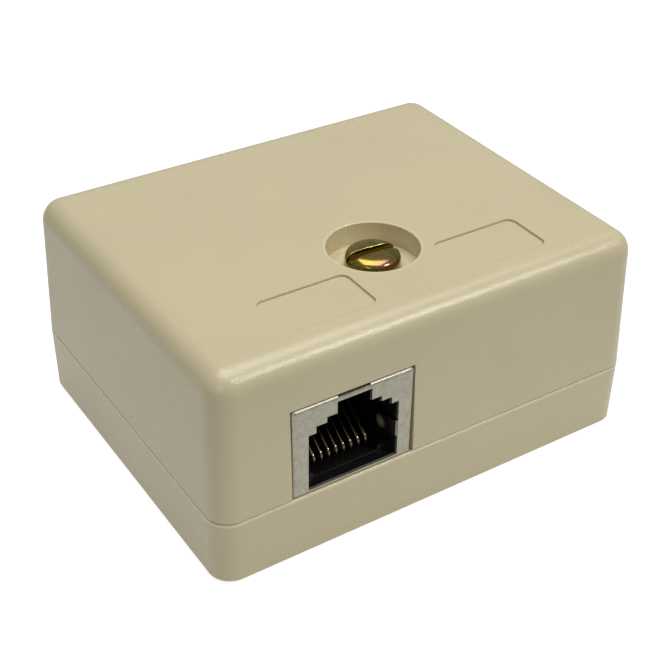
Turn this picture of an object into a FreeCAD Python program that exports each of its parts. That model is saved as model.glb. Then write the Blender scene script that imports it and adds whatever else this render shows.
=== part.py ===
"""Surface mount jack box: a two-piece ABS case with one shielded 8-position modular jack.

Frame: millimetres, +Z up. The origin is at the centre of the underside. +X is the case's length, seen
from the front, and the plug goes in along +Y through the front face, which is at -Y.
"""
import FreeCAD
import Part

import math
import os

V = FreeCAD.Vector

# ---------------------------------------------------------------------------- case
case_length = 60.0            # X at the seam, where the case is largest
case_width = 48.0             # Y at the seam
case_height = 28.5
seam_height = 9.3             # rim of the base
seam_gap = 0.17               # fine open line between base and cover
wall = 2.2
floor_thickness = 2.0
roof_thickness = 2.0
edge_radius = 2.85            # upright corners and the roof's edges, one ball radius
foot_edge = 0.7               # chamfer round the underside
seam_edge = 0.1               # chamfer on the base's rim
inner_edge_radius = 0.8       # inside corners of both mouldings
base_draft = 0.5              # degrees, base narrows downwards
cover_draft = 1.8             # degrees, cover narrows upwards

# ---------------------------------------------------------------------------- rim tongue
tongue_height = 1.5
tongue_thickness = 0.9
tongue_fit = 0.15             # to the cover's rebate, and above the tongue
tongue_break = 0.4            # end of the tongue to what passes through the wall

# ---------------------------------------------------------------------------- cover screw, its well and tower
screw_y = -8.9                # on the case's centre line
well_radius = 5.68
well_rim_radius = 0.08
well_depth = 2.85
well_wall = 1.6
gusset_thickness = 1.0
well_gusset_reach = 3.0
head_radius = 3.4
head_side_height = 0.75
head_height = 2.5
crown_fullness = 0.85         # 1 is an ellipse, less is squarer
crown_flats = 3
slot_width = 1.2
slot_depth = 1.25
slot_angle = -4.0             # degrees from +X, as the screw was left
shank_radius = 1.75
shank_length = 9.8
thread_fit = 0.05             # radial, shank to insert
shank_hole_fit = 0.25         # radial, shank to the cover
insert_wall = 0.65
insert_length = 6.4
tower_wall = 1.05
tower_gusset_reach = 3.2
tower_gusset_height = 7.0
tower_bore_spare = 1.5        # below the screw's point

# ---------------------------------------------------------------------------- label panels on the roof
label_length = 12.2
label_width = 7.2
label_depth = 0.28
label_corner_radius = 1.1
label_setback = 4.7           # front of the case at the seam to the panel

# ---------------------------------------------------------------------------- jack
jack_width = 16.3
jack_height = 12.05
jack_depth = 15.65
jack_setback = 0.2            # front plate behind the case's front at the seam
jack_lift = 0.2               # shield above the base's rim
jack_window_fit = 0.14        # round the jack in the cover's front wall
tower_gap = 0.55              # jack's side to the tower
sheet = 0.25                  # shield's metal
bend_radius = 0.5             # shield's outside bends
mouth_sill = 0.25             # strip of plate under the mouth
mouth_half_widths = (6.05, 5.05, 3.65, 2.3)    # plug, two latch steps, latch slot
mouth_heights = (8.12, 9.05, 9.78, 11.35)      # top of each, above the shield's bottom
mouth_inset = 0.12            # housing's mouth inside the shield's
key_notch_half_width = 2.15   # relief in the shield's top bend
key_notch_depth = 1.5
key_strip = 0.5               # flat strip left above the latch slot
spring_height = 2.2           # earth springs folded in from the mouth's sides
spring_bottom = 2.85
spring_bulge = 0.75
spring_reach = 5.2
spring_pocket_fit = 0.3
spring_pocket_depth = 1.2
solder_tab_width = 1.4
solder_tab_y = 3.9            # behind the plate
latch_depth = 9.5             # latch channel into the housing
cavity_depth = 12.3           # plug cavity into the housing
plug_rail = 1.05              # plug rides this far above the housing's bottom
trough_half_width = 4.45
trough_front = 1.4            # housing's sill in front of the contact carrier
peg_radius = 1.6
peg_offset = 5.715            # from the jack's centre line
peg_y = 7.8                   # behind the plate
peg_below_board = 1.8
peg_fit = 0.1                 # radial, in the board and in the posts

# ---------------------------------------------------------------------------- contact wires
contact_count = 8
contact_pitch = 1.016
contact_width = 0.36
contact_thickness = 0.35
contact_run_height = 0.75     # lower run above the housing's bottom
contact_bend_radius = 0.75
contact_bend_y = 3.65         # centre of the front bend, behind the plate
contact_slope = 36.0          # degrees, upper run
contact_upper_run = 8.4
contact_tail_rows = (13.9, 11.36)   # behind the plate, odd and even
tail_below_board = 0.8
comb_groove_fit = 0.085       # each side of a wire
comb_front = 4.05             # front end of the comb's ribs, behind the plate
comb_floor = 0.45             # below the wires, above the housing's bottom

# ---------------------------------------------------------------------------- circuit board
board_thickness = 1.6
board_side_margin = 0.2       # wider than the jack, each side
board_front_gap = 0.4         # to the base's front wall
board_rear_gap = 2.6          # to the base's rear wall
tower_notch_gap = 0.4
lead_hole_radius = 0.45       # six-sided, too fine to show round
tab_slot_fit = 0.3            # round each of the shield's tabs
board_screw_offset = 5.6      # each side of the board's centre line
board_screw_edge = 3.0        # to the board's rear edge
post = 5.0                    # square posts under the board's screws
ledge_offset = 5.0            # ribs under the board's front edge, each side of the jack's centre line
ledge_width = 1.6
ledge_reach = 2.2             # under the board

# ---------------------------------------------------------------------------- small self-tapping screws
small_head_radius = 2.2
small_head_height = 1.5
small_shank_radius = 1.1
small_shank_length = 5.5      # under the head
small_thread_fit = 0.05
small_recess = 0.8            # depth and half length of the cross recess is twice this
small_recess_width = 0.5

# ---------------------------------------------------------------------------- insulation displacement blocks
idc_ways = 4
idc_depth = 6.4               # Y
idc_height = 11.0
idc_slot_width = 1.3
idc_slot_depth = 6.2
idc_tooth_point = 1.4         # sloping lead-in at each tooth's tip
idc_end_wall = 0.4            # block as long as the jack is wide
idc_foot = 1.2                # block's floor under the terminals
terminal_width = 2.6
terminal_thickness = 0.5
terminal_height = 7.2
terminal_fork = 4.2
terminal_fork_width = 0.4
terminal_lead_in = 0.8
terminal_pocket_fit = 0.15
terminal_tail_width = 0.6

# ---------------------------------------------------------------------------- cable entry and clamp
entry_radius = 4.0            # round hole split at the seam in the rear wall
cable_radius = 3.1
clamp_setback = 7.3           # rear wall's inside to the clamp's middle
clamp_width = 6.0             # along the cable
clamp_sheet = 0.8
clamp_flange = 5.0            # beyond the arch, each side
saddle_height = 8.45          # block under the clamp

# ---------------------------------------------------------------------------- base openings
wall_screw_spacing = 47.8     # along X, on the case's centre line
wall_screw_radius = 2.1
floor_entry_length = 12.0     # X
floor_entry_width = 9.0       # Y
floor_entry_radius = 1.5
floor_entry_y = -7.5

past = 1.0                    # how far a cut reaches past the face it opens

# ---------------------------------------------------------------------------- places that follow from the sizes
inside_x = case_length / 2 - wall
inside_y = case_width / 2 - wall
insert_bore = shank_radius + thread_fit
insert_radius = insert_bore + insert_wall
tower_radius = insert_radius + tower_wall
well_floor = case_height - well_depth
tower_top = well_floor - roof_thickness
jack_x = -(tower_radius + tower_gap + jack_width / 2)
jack_front = -case_width / 2 + jack_setback
jack_rear = jack_front + jack_depth
jack_bottom = seam_height + jack_lift
jack_top = jack_bottom + jack_height
board_top = jack_bottom
board_bottom = board_top - board_thickness
board_front = -inside_y + board_front_gap
board_rear = inside_y - board_rear_gap
board_half_width = jack_width / 2 + board_side_margin
board_screw_y = board_rear - board_screw_edge
idc_pitch = (jack_width - 2 * idc_end_wall) / idc_ways
idc_gap = (board_screw_y - small_head_radius - jack_rear - 2 * idc_depth) / 3
idc_front_y = jack_rear + idc_gap + idc_depth / 2
idc_rear_y = idc_front_y + idc_depth + idc_gap
entry_x = -jack_x
clamp_y = inside_y - clamp_setback
clamp_reach = cable_radius + clamp_sheet + clamp_flange
label_front = -case_width / 2 + label_setback


# ---------------------------------------------------------------------------- helpers
def box(x0, x1, y0, y1, z0, z1):
    return Part.makeBox(x1 - x0, y1 - y0, z1 - z0, V(x0, y0, z0))


def upright(radius, x, y, z0, z1):
    """Cylinder standing on z0 with its axis at x, y."""
    return Part.makeCylinder(radius, z1 - z0, V(x, y, z0))


def prism(points, depth):
    """Flat polygon carried along the vector depth."""
    return Part.Face(Part.makePolygon([V(*p) for p in points] + [V(*points[0])])).extrude(V(*depth))


def turned(outline, x, y, z):
    """Solid of revolution about the upright line at x, y. The outline is (radius, height) points above z."""
    face = Part.Face(Part.makePolygon([V(r, 0, h) for r, h in outline] + [V(outline[0][0], 0, outline[0][1])]))
    solid = face.revolve(V(0, 0, 0), V(0, 0, 1), 360)
    solid.translate(V(x, y, z))
    return solid


def upright_edges(shape):
    """Straight edges that climb more than they run."""
    found = []
    for edge in shape.Edges:
        rise = edge.Vertexes[-1].Point - edge.Vertexes[0].Point
        if abs(rise.z) > 0.9 * rise.Length and rise.Length > 0:
            found.append(edge)
    return found


def edges_at(shape, height):
    """Edges that lie in the level plane at height."""
    return [e for e in shape.Edges if abs(e.BoundBox.ZMin - height) < 1e-4 and e.BoundBox.ZLength < 1e-4]


def drafted_block(half_x, half_y, z_big, z_small, draft, radius, round_top=False):
    """Block whose section is half_x by half_y at z_big and shrinks by the draft angle to z_small.

    Its upright corners are rounded, and with round_top its top edges too, in balls at the top corners.
    """
    low, high = min(z_big, z_small), max(z_big, z_small)
    shrink = (high - low) * math.tan(math.radians(draft))
    low_cut, high_cut = (shrink, 0) if z_small < z_big else (0, shrink)
    block = Part.makeWedge(
        -half_x + low_cut, low, -half_y + low_cut, -half_y + high_cut, -half_x + high_cut,
        half_x - low_cut, high, half_y - low_cut, half_y - high_cut, half_x - high_cut)
    block.rotate(V(0, 0, 0), V(1, 0, 0), 90)
    edges = upright_edges(block) + (edges_at(block, high) if round_top else [])
    return block.makeFillet(radius, edges)


def plate(half_x, half_y, radius, x, y, z0, z1):
    """Level plate with rounded corners, centred on x, y."""
    block = box(x - half_x, x + half_x, y - half_y, y + half_y, z0, z1)
    return block.makeFillet(radius, upright_edges(block))


def gussets(x, y, inner, outer, z_wide, z_narrow):
    """Four triangular ribs round an upright axis, outer long at z_wide and nothing at z_narrow."""
    ribs = []
    for turn in range(4):
        rib = prism([(inner, -gusset_thickness / 2, z_wide), (outer, -gusset_thickness / 2, z_wide),
                     (inner, -gusset_thickness / 2, z_narrow)], (0, gusset_thickness, 0))
        rib.rotate(V(0, 0, 0), V(0, 0, 1), 90 * turn + 45)
        rib.translate(V(x, y, 0))
        ribs.append(rib)
    return ribs


def small_screw(x, y, seat):
    """Cheese head self-tapping screw with a cross recess, its head resting on seat."""
    arm, top = 2 * small_recess, seat + small_head_height
    screw = upright(small_shank_radius, x, y, seat - small_shank_length, seat).fuse(
        upright(small_head_radius, x, y, seat, top))
    for along_x, along_y in ((arm, small_recess_width / 2), (small_recess_width / 2, arm)):
        screw = screw.cut(box(x - along_x, x + along_x, y - along_y, y + along_y, top - small_recess, top + past))
    return screw


def strip(path, thickness, width):
    """Sheet of even thickness bent along an open flat path, square at its ends, and carried along width."""
    edge = path.makeOffset2D(-thickness / 2, join=2, openResult=True)
    return edge.makeOffset2D(thickness, fill=True, join=2, openResult=True).extrude(V(*width))


def save(name, shape):
    shape.removeSplitter().exportStep(os.path.join("parts", name + ".step"))


# ---------------------------------------------------------------------------- case mouldings
def wall_inner_offset(z):
    """How far the cover's walls have leaned in at height z."""
    return (z - seam_height) * math.tan(math.radians(cover_draft))


def tongue_ring():
    """Upright lip on the inner half of the base's rim, broken at the jack and at the cable entry."""
    rise = seam_height + tongue_height
    ring = plate(inside_x + tongue_thickness, inside_y + tongue_thickness, edge_radius - wall + tongue_thickness,
                 0, 0, seam_height, rise).cut(
        plate(inside_x, inside_y, inner_edge_radius, 0, 0, seam_height, rise))
    jack_half = jack_width / 2 + jack_window_fit + tongue_break
    entry_half = entry_radius + tongue_break
    ring = ring.cut(box(jack_x - jack_half, jack_x + jack_half, -case_width / 2, 0, seam_height, rise))
    return ring.cut(box(entry_x - entry_half, entry_x + entry_half, 0, case_width / 2, seam_height, rise))


def cable_hole():
    """Round hole along Y through the rear wall, half below and half above the seam."""
    return Part.makeCylinder(entry_radius, 3 * wall, V(entry_x, case_width / 2 - 2 * wall, seam_height), V(0, 1, 0))


def make_base():
    body = drafted_block(case_length / 2, case_width / 2, seam_height, 0, base_draft, edge_radius)
    body = body.makeChamfer(foot_edge, edges_at(body, 0))
    body = body.makeChamfer(seam_edge, edges_at(body, seam_height))
    body = body.cut(plate(inside_x, inside_y, inner_edge_radius, 0, 0, floor_thickness, case_height))
    adds = [tongue_ring(), upright(tower_radius, 0, screw_y, floor_thickness, tower_top)]
    adds += gussets(0, screw_y, tower_radius - 0.3, tower_radius + tower_gusset_reach,
                    floor_thickness, floor_thickness + tower_gusset_height)
    for side in (-1, 1):
        adds.append(box(jack_x + side * ledge_offset - ledge_width / 2, jack_x + side * ledge_offset + ledge_width / 2,
                        -inside_y - wall / 2, board_front + ledge_reach, floor_thickness, board_bottom))
        x = jack_x + side * board_screw_offset
        adds.append(box(x - post / 2, x + post / 2, board_screw_y - post / 2, board_screw_y + post / 2,
                        floor_thickness, board_bottom))
    adds.append(box(entry_x - clamp_reach, entry_x + clamp_reach, clamp_y - clamp_width / 2, clamp_y + clamp_width / 2,
                    floor_thickness, saddle_height))
    body = body.fuse(adds)
    cuts = [cable_hole(), cable_bed(),
            upright(insert_radius, 0, screw_y, well_floor - shank_length - tower_bore_spare, tower_top + past)]
    pilot = small_shank_radius + small_thread_fit
    for side in (-1, 1):
        cuts.append(upright(pilot, jack_x + side * board_screw_offset, board_screw_y, floor_thickness, board_bottom))
        cuts.append(upright(pilot, clamp_screw_x(side), clamp_y, floor_thickness, saddle_height))
        cuts.append(upright(wall_screw_radius, side * wall_screw_spacing / 2, 0, -past, floor_thickness + past))
    cuts.append(plate(floor_entry_length / 2, floor_entry_width / 2, floor_entry_radius, entry_x, floor_entry_y,
                      -past, floor_thickness + past))
    return body.cut(cuts)


def make_cover():
    foot = seam_height + seam_gap
    lean = wall_inner_offset(foot)
    body = drafted_block(case_length / 2 - lean, case_width / 2 - lean, foot, case_height, cover_draft, edge_radius,
                         round_top=True)
    body = body.cut(drafted_block(inside_x - lean, inside_y - lean, foot, case_height - roof_thickness, cover_draft,
                                  inner_edge_radius))
    rebate = tongue_thickness + tongue_fit
    body = body.cut(plate(inside_x + rebate, inside_y + rebate, edge_radius - wall + rebate, 0, 0,
                          seam_height, seam_height + tongue_height + tongue_fit))
    body = body.fuse([upright(well_radius + well_wall, 0, screw_y, tower_top, case_height - roof_thickness)]
                     + gussets(0, screw_y, well_radius, well_radius + well_wall + well_gusset_reach,
                               case_height - roof_thickness, tower_top))
    well = upright(well_radius, 0, screw_y, well_floor, case_height + past)
    rim = turned([(0, 0), (well_radius + well_rim_radius, 0), (well_radius, -well_rim_radius),
                  (0, -well_rim_radius)], 0, screw_y, case_height)
    half_window = jack_width / 2 + jack_window_fit
    cuts = [well, rim, cable_hole(),
            upright(shank_radius + shank_hole_fit, 0, screw_y, tower_top - past, well_floor + past),
            box(jack_x - half_window, jack_x + half_window, -case_width / 2 - past, jack_rear + jack_window_fit,
                seam_height, jack_top + jack_window_fit)]
    for side in (-1, 1):
        cuts.append(plate(label_length / 2, label_width / 2, label_corner_radius, side * entry_x,
                          label_front + label_width / 2, case_height - label_depth, case_height + past))
    return body.cut(cuts)


# ---------------------------------------------------------------------------- cover screw and insert
def make_cover_screw():
    """Slotted pan head machine screw: one outline turned about its axis, the crown a superellipse in flats."""
    rise = head_height - head_side_height
    outline = [(0, -shank_length), (shank_radius, -shank_length), (shank_radius, 0), (head_radius, 0)]
    for step in range(crown_flats):
        turn = math.pi / 2 * step / crown_flats
        outline.append((head_radius * math.cos(turn) ** crown_fullness,
                        head_side_height + rise * math.sin(turn) ** crown_fullness))
    screw = turned(outline + [(0, head_height)], 0, 0, 0)
    slot = box(-2 * head_radius, 2 * head_radius, -slot_width / 2, slot_width / 2,
               head_height - slot_depth, head_height + past)
    slot.rotate(V(0, 0, 0), V(0, 0, 1), slot_angle)
    screw = screw.cut(slot)
    screw.translate(V(0, screw_y, well_floor))
    return screw


def make_threaded_insert():
    return turned([(insert_bore, 0), (insert_radius, 0), (insert_radius, insert_length), (insert_bore, insert_length)],
                  0, screw_y, tower_top - insert_length)


# ---------------------------------------------------------------------------- jack
def mouth_tool(inset, y0, y1):
    """Stepped plug mouth with its latch slot at the top, cut from y0 to y1."""
    right = [(mouth_half_widths[0] - inset, mouth_sill + inset)]
    for level, half in enumerate(mouth_half_widths):
        if level:
            right.append((half - inset, mouth_heights[level - 1] - inset))
        right.append((half - inset, mouth_heights[level] - inset))
    outline = right + [(-x, z) for x, z in reversed(right)]
    return prism([(jack_x + x, y0, jack_bottom + z) for x, z in outline], (0, y1 - y0, 0))


def spring_strip(side):
    """Earth spring: sheet folded in from the mouth's edge, bowed towards the plug and back to the wall."""
    x = jack_x + side * (mouth_half_widths[0] + sheet / 2)
    y = jack_front + sheet / 2
    z = jack_bottom + spring_bottom
    start, end = V(x, y, z), V(x, y + spring_reach, z)
    crest = V(x - side * spring_bulge, y + spring_reach * 0.55, z)
    path = Part.Wire([Part.Arc(start, crest, end).toShape()])
    return strip(path, sheet, (0, 0, spring_height))


def shield_bends(block):
    """Edges of the jack's block that the sheet is bent over: those of the front and of the top."""
    edges = [e for e in block.Edges if e.BoundBox.ZMin > jack_top - 1e-6 or e.BoundBox.ZLength > jack_height / 2]
    return [e for e in edges if e.BoundBox.YMin < jack_rear - bend_radius]


def make_jack_shield():
    """Folded, tinned sheet round the housing: front plate with the mouth, top, sides and rear."""
    x0, x1 = jack_x - jack_width / 2, jack_x + jack_width / 2
    shell = box(x0, x1, jack_front, jack_rear, jack_bottom, jack_top)
    shell = shell.makeFillet(bend_radius, shield_bends(shell))
    hollow = box(x0 + sheet, x1 - sheet, jack_front + sheet, jack_rear - sheet, jack_bottom - past, jack_top - sheet)
    shell = shell.cut(hollow)
    strip_top = jack_bottom + mouth_heights[-1] + key_strip
    notch = box(jack_x - key_notch_half_width, jack_x + key_notch_half_width,
                jack_front - past, jack_front + key_notch_depth, strip_top, jack_top + past)
    shell = shell.cut([mouth_tool(0, jack_front - past, jack_front + sheet), notch])
    tabs = [spring_strip(side) for side in (-1, 1)]
    for x in (x0, x1 - sheet):
        y = jack_front + solder_tab_y
        tabs.append(box(x, x + sheet, y - solder_tab_width / 2, y + solder_tab_width / 2,
                        board_bottom - tail_below_board, jack_bottom))
    return shell.fuse(tabs)


def make_jack_housing():
    """Black moulding inside the shield: plug cavity, stepped latch channel, spring pockets and pegs."""
    half, front = jack_width / 2 - sheet, jack_front + sheet
    top = jack_top - sheet
    body = box(jack_x - half, jack_x + half, front, jack_rear - sheet, jack_bottom, top)
    body = body.makeChamfer(bend_radius - sheet, shield_bends(body))
    cavity_half = mouth_half_widths[0] - mouth_inset
    rail = jack_bottom + plug_rail
    cavity_top = jack_bottom + mouth_heights[0] - mouth_inset
    cuts = [mouth_tool(mouth_inset, front - past, front + trough_front),
            mouth_tool(mouth_inset, front - past, front + latch_depth).common(
                box(jack_x - half, jack_x + half, front - past, jack_rear, rail, jack_top)),
            box(jack_x - cavity_half, jack_x + cavity_half, front, front + cavity_depth, rail, cavity_top),
            box(jack_x - trough_half_width, jack_x + trough_half_width, front + trough_front, jack_rear,
                jack_bottom - past, rail + past),
            box(jack_x - cavity_half, jack_x + cavity_half, front + cavity_depth - past, jack_rear,
                jack_bottom - past, cavity_top)]
    pocket_z = jack_bottom + spring_bottom
    pocket_half = mouth_half_widths[0] + spring_pocket_depth
    cuts.append(box(jack_x - pocket_half, jack_x + pocket_half, front - past, front + spring_reach + spring_pocket_fit,
                    pocket_z - spring_pocket_fit, pocket_z + spring_height + spring_pocket_fit))
    body = body.cut(cuts)
    pegs = [upright(peg_radius, jack_x + side * peg_offset, jack_front + peg_y,
                    board_bottom - peg_below_board, jack_bottom) for side in (-1, 1)]
    return body.fuse(pegs)


def contact_x(index):
    return jack_x + (index - (contact_count - 1) / 2) * contact_pitch


def contact_tail_y(index):
    return jack_front + contact_tail_rows[index % 2]


def make_contact_carrier():
    """Moulding that holds the wires: a comb along the plug cavity's floor and a block behind it."""
    front, rail = jack_front + sheet + trough_front, jack_bottom + plug_rail
    back = jack_front + sheet + cavity_depth
    half = mouth_half_widths[0] - mouth_inset
    top = jack_bottom + mouth_heights[0] - mouth_inset
    body = box(jack_x - trough_half_width, jack_x + trough_half_width, front, jack_rear - sheet, jack_bottom, rail)
    body = body.fuse(box(jack_x - half, jack_x + half, back, jack_rear - sheet, jack_bottom, top))
    cuts = [box(jack_x - trough_half_width, jack_x + trough_half_width, front, jack_front + comb_front,
                jack_bottom + comb_floor, rail + past)]
    groove = contact_width / 2 + comb_groove_fit
    wire_gap = contact_thickness / 2 + comb_groove_fit
    run = jack_bottom + contact_run_height
    for index in range(contact_count):
        x, tail = contact_x(index), contact_tail_y(index)
        cuts.append(box(x - groove, x + groove, jack_front + comb_front, back, jack_bottom + comb_floor, rail + past))
        cuts.append(box(x - groove, x + groove, back - past, tail + wire_gap, jack_bottom + comb_floor, run + wire_gap))
        cuts.append(box(x - groove, x + groove, tail - wire_gap, tail + wire_gap, jack_bottom - past, run + wire_gap))
    return body.cut(cuts)


def make_contact(index):
    """Gilt flat wire: tail, bend, lower run, front bend and sloping upper run, of one even thickness."""
    x = contact_x(index) - contact_width / 2
    tail_y, run_z = contact_tail_y(index), jack_bottom + contact_run_height
    bend_y, bend_z = jack_front + contact_bend_y, run_z + contact_bend_radius
    slope = math.radians(contact_slope)

    def on_bend(angle):
        return V(x, bend_y + contact_bend_radius * math.cos(angle), bend_z + contact_bend_radius * math.sin(angle))

    leave = math.pi / 2 + slope
    top = on_bend(leave)
    end = top + V(0, math.cos(slope), math.sin(slope)) * contact_upper_run
    path = Part.Wire([
        Part.makeLine(V(x, tail_y, board_bottom - tail_below_board), V(x, tail_y, run_z)),
        Part.makeLine(V(x, tail_y, run_z), on_bend(-math.pi / 2)),
        Part.Arc(on_bend(-math.pi / 2), on_bend((leave + 1.5 * math.pi) / 2), top).toShape(),
        Part.makeLine(top, end)])
    return strip(path, contact_thickness, (contact_width, 0, 0))


# ---------------------------------------------------------------------------- board and wiring blocks
def make_circuit_board():
    low, high = board_bottom - past, board_top + past
    body = box(jack_x - board_half_width, jack_x + board_half_width, board_front, board_rear, board_bottom, board_top)
    holes, slots = [(tower_radius + tower_notch_gap, 0, screw_y)], []
    for side in (-1, 1):
        holes.append((peg_radius + peg_fit, jack_x + side * peg_offset, jack_front + peg_y))
        holes.append((small_shank_radius + small_thread_fit, jack_x + side * board_screw_offset, board_screw_y))
        x, y = jack_x + side * (jack_width / 2 - sheet / 2), jack_front + solder_tab_y
        reach_x, reach_y = sheet / 2 + tab_slot_fit, solder_tab_width / 2 + tab_slot_fit
        slots.append(box(x - reach_x, x + reach_x, y - reach_y, y + reach_y, low, high))
    leads = [(contact_x(i), contact_tail_y(i)) for i in range(contact_count)]
    leads += [(x, y) for y in (idc_front_y, idc_rear_y) for x in idc_slots()]
    return body.cut(slots + [upright(r, x, y, low, high) for r, x, y in holes] + [lead_hole(x, y) for x, y in leads])


def lead_hole(x, y):
    corners = [(x + lead_hole_radius * math.cos(math.radians(60 * i)),
                y + lead_hole_radius * math.sin(math.radians(60 * i)), board_bottom - past) for i in range(6)]
    return prism(corners, (0, 0, board_thickness + 2 * past))


def idc_slots():
    """X of each slot in a block."""
    return [jack_x + (way - (idc_ways - 1) / 2) * idc_pitch for way in range(idc_ways)]


def make_idc_block(y):
    """Comb of teeth with pointed tips, and a pocket across each slot for its terminal."""
    z0, z1 = board_top, board_top + idc_height
    slot, half, tip = idc_slot_width / 2, jack_width / 2, idc_tooth_point
    outline = [(jack_x - half, z0), (jack_x + half, z0), (jack_x + half, z1 - tip)]
    for x in reversed(idc_slots()):
        outline += [(x + slot + tip / 2, z1), (x + slot, z1 - tip), (x + slot, z1 - idc_slot_depth),
                    (x - slot, z1 - idc_slot_depth), (x - slot, z1 - tip), (x - slot - tip / 2, z1)]
    outline.append((jack_x - half, z1 - tip))
    body = prism([(x, y - idc_depth / 2, z) for x, z in outline], (0, idc_depth, 0))
    fit = terminal_pocket_fit
    pocket_x, pocket_y = terminal_width / 2 + fit, terminal_thickness / 2 + fit
    tail_x = terminal_tail_width / 2 + fit
    cuts = []
    for x in idc_slots():
        cuts.append(box(x - pocket_x, x + pocket_x, y - pocket_y, y + pocket_y, z0 + idc_foot, z1))
        cuts.append(box(x - tail_x, x + tail_x, y - pocket_y, y + pocket_y, z0 - past, z0 + idc_foot + past))
    return body.cut(cuts)


def make_idc_terminal(x, y):
    """Flat forked blade that stands on the block's foot, with a tail through the board."""
    z, half, tail = board_top + idc_foot, terminal_width / 2, terminal_tail_width / 2
    top, jaw, lead = z + terminal_height, terminal_fork_width / 2, terminal_lead_in
    bottom = board_bottom - tail_below_board
    right = [(tail, bottom), (tail, z), (half, z), (half, top), (jaw + lead * 0.6, top), (jaw, top - lead),
             (jaw, top - terminal_fork)]
    outline = right + [(-px, pz) for px, pz in reversed(right)]
    return prism([(x + px, y - terminal_thickness / 2, pz) for px, pz in outline], (0, terminal_thickness, 0))


# ---------------------------------------------------------------------------- cable clamp
def clamp_screw_x(side):
    return entry_x + side * (cable_radius + clamp_sheet + clamp_flange / 2)


def cable_bed():
    """The cable's own space, from the saddle up into the clamp."""
    return Part.makeCylinder(cable_radius, clamp_width, V(entry_x, clamp_y - clamp_width / 2, seam_height), V(0, 1, 0))


def make_cable_clamp():
    """Saddle clip: an arch of sheet over the cable with a flat foot on each side of it."""
    y0, y1, foot = clamp_y - clamp_width / 2, clamp_y + clamp_width / 2, saddle_height
    outer = cable_radius + clamp_sheet
    arch = Part.makeCylinder(outer, clamp_width, V(entry_x, y0, seam_height), V(0, 1, 0))
    legs = box(entry_x - outer, entry_x + outer, y0, y1, foot, seam_height)
    feet = box(entry_x - clamp_reach, entry_x + clamp_reach, y0, y1, foot, foot + clamp_sheet)
    below = box(entry_x - outer, entry_x + outer, y0, y1, 0, foot)
    gap = box(entry_x - cable_radius, entry_x + cable_radius, y0, y1, foot, seam_height)
    holes = [upright(small_shank_radius + small_thread_fit, clamp_screw_x(side), clamp_y, foot - past, foot + clamp_sheet + past)
             for side in (-1, 1)]
    return arch.fuse([legs, feet]).cut([below, cable_bed(), gap] + holes)


def main():
    os.makedirs("parts", exist_ok=True)
    save("base", make_base())
    save("threaded_insert", make_threaded_insert())
    save("circuit_board", make_circuit_board())
    save("board_screws", Part.makeCompound([small_screw(jack_x + side * board_screw_offset, board_screw_y, board_top)
                                            for side in (-1, 1)]))
    save("jack_housing", make_jack_housing())
    save("contact_carrier", make_contact_carrier())
    save("jack_shield", make_jack_shield())
    for index in range(contact_count):
        save("contact_%d" % (index + 1), make_contact(index))
    save("front_idc_block", make_idc_block(idc_front_y))
    save("rear_idc_block", make_idc_block(idc_rear_y))
    places = [(x, y) for y in (idc_front_y, idc_rear_y) for x in idc_slots()]
    for number, (x, y) in enumerate(places, 1):
        save("idc_terminal_%d" % number, make_idc_terminal(x, y))
    save("cable_clamp", make_cable_clamp())
    save("clamp_screws", Part.makeCompound([small_screw(clamp_screw_x(side), clamp_y, saddle_height + clamp_sheet)
                                            for side in (-1, 1)]))
    save("cover", make_cover())
    save("cover_screw", make_cover_screw())


main()
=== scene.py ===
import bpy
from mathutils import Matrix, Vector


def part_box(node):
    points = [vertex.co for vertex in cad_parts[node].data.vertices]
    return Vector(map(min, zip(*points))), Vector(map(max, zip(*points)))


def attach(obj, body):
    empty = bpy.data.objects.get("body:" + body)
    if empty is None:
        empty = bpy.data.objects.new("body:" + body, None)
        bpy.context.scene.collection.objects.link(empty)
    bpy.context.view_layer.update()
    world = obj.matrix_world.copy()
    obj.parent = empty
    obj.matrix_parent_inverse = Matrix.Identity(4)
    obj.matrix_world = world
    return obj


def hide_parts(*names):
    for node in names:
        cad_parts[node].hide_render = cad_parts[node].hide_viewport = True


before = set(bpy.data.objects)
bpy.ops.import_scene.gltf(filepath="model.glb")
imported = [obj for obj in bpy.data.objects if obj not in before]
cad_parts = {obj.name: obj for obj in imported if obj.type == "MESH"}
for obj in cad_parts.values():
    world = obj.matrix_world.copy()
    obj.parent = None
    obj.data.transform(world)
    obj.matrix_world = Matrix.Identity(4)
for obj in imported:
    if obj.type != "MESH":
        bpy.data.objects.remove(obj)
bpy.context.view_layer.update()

import math

import bmesh
import bpy
import numpy as np
from mathutils import Matrix, Vector

bl_info = {
    "name": "Surface Mount Jack Box",
    "version": (1, 0, 0),
    "blender": (4, 5, 0),
    "location": "View3D > Sidebar > Jack Box",
    "description": "Finishes, fine pieces and stage for a surface mount box with one shielded modular jack",
    "category": "Object",
}

MM = 0.001


def linear(colour):
    """Six-digit sRGB hex colour as linear red, green and blue."""
    parts = np.array([int(colour[i:i + 2], 16) / 255 for i in (0, 2, 4)])
    return tuple(np.where(parts <= 0.04045, parts / 12.92, ((parts + 0.055) / 1.055) ** 2.4).tolist())


def colour_property(name, description, colour):
    """Colour that a user can change, given in hex."""
    return bpy.props.FloatVectorProperty(name=name, description=description, subtype="COLOR", size=3,
                                         min=0, max=1, default=linear(colour))


def number_property(name, description, default):
    """Plain number that a user can change."""
    return bpy.props.FloatProperty(name=name, description=description, default=default)


def length_property(name, description, millimetres):
    """Length that a user can change."""
    return bpy.props.FloatProperty(name=name, description=description, subtype="DISTANCE", unit="LENGTH",
                                   precision=5, default=millimetres * MM)


def angle_property(name, description, degrees):
    """Angle that a user can change."""
    return bpy.props.FloatProperty(name=name, description=description, subtype="ANGLE", unit="ROTATION",
                                   default=math.radians(degrees))


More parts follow.
